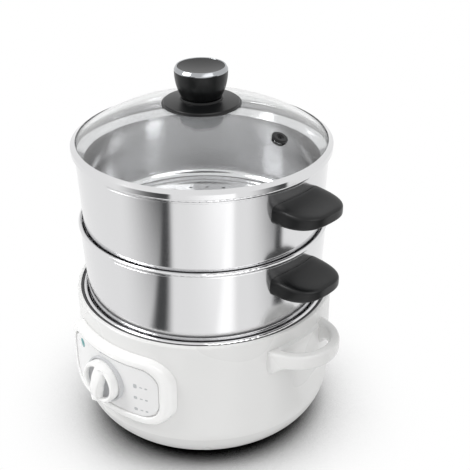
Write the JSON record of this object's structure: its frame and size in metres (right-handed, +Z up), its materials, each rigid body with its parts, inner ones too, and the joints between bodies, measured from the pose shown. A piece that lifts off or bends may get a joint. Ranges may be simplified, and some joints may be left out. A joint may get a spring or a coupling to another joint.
{
  "type": "electric food steamer",
  "caption": "Electric food steamer: round white heated base with a timer knob and loop handles, stacked stainless steel tiers with black handles and a domed glass lid.",
  "frame": {"origin": "on the upright axis, in the plane of the foot ring that the steamer stands on", "axes": "+Z up; the control panel faces -Y; the handles lie on +X and -X; the power inlet is at +Y"},
  "size_m": [0.323, 0.2804, 0.3646],
  "materials": {
    "white_housing": "satin",
    "gloss_white": "gloss",
    "plate_white": "satin",
    "grey_plastic": "satin",
    "cream_plastic": "matte",
    "black_plastic": "matte",
    "black_rubber": "matte",
    "grey_rubber": "matte",
    "stainless": "satin",
    "polished_steel": "polished",
    "steel_fastener": "satin",
    "element_steel": "oxidised",
    "cast_aluminium": "as cast",
    "white_ceramic": "glazed",
    "teal_lens": "translucent gloss",
    "orange_lamp": "clear",
    "wire_red": "satin",
    "clear_glass": "clear",
    "bright_ring": "bright"
  },
  "bodies": {
    "base": {"base_housing": "white_housing", "base_cover": "white_housing", "foot_ring": "black_rubber", "cover_screws": "steel_fastener", "base_handle_left": "white_housing", "base_handle_right": "white_housing", "handle_screws": "steel_fastener", "water_pan": "stainless", "pan_seal": "grey_rubber", "heat_plate": "cast_aluminium", "heating_element": "element_steel", "heat_shield": "stainless", "shield_nut": "steel_fastener", "thermostat": "cast_aluminium", "thermal_fuse": "white_ceramic", "panel_bezel": "gloss_white", "panel_plate": "plate_white", "dial_ring": "grey_plastic", "indicator_lens": "teal_lens", "indicator_lamp": "orange_lamp", "timer_module": "cream_plastic", "timer_screws": "steel_fastener", "power_inlet": "black_plastic", "inlet_pins": "steel_fastener", "wiring": "wire_red"},
    "knob": {"timer_knob": "gloss_white", "timer_shaft": "steel_fastener"},
    "lower_steam_tier": {"lower_tier": "stainless", "lower_grip_left": "black_plastic", "lower_grip_right": "black_plastic", "lower_brackets": "stainless", "lower_grip_screws": "steel_fastener"},
    "upper_steam_tier": {"upper_tier": "stainless", "upper_grip_left": "black_plastic", "upper_grip_right": "black_plastic", "upper_brackets": "stainless", "upper_grip_screws": "steel_fastener"},
    "lid": {"lid_glass": "clear_glass", "lid_band": "polished_steel", "lid_disc": "black_plastic", "lid_knob": "black_plastic", "knob_ring": "bright_ring", "knob_cap": "black_plastic", "knob_screw": "steel_fastener", "knob_washer": "black_rubber", "steam_vent": "black_rubber"}
  },
  "joints": [
    {"name": "timer_knob_turn", "type": "hinge", "parent": "base", "child": "knob", "pos_m": [0, -0.135, 0.091], "axis": [0, 1, 0], "range_deg": [0, 300]},
    {"name": "lower_tier_lift", "type": "slide", "parent": "base", "child": "lower_steam_tier", "axis": [0, 0, 1], "range_m": [0, 0.12]},
    {"name": "upper_tier_lift", "type": "slide", "parent": "lower_steam_tier", "child": "upper_steam_tier", "axis": [0, 0, 1], "range_m": [0, 0.12]},
    {"name": "lid_lift", "type": "slide", "parent": "upper_steam_tier", "child": "lid", "axis": [0, 0, 1], "range_m": [0, 0.1]}
  ]
}
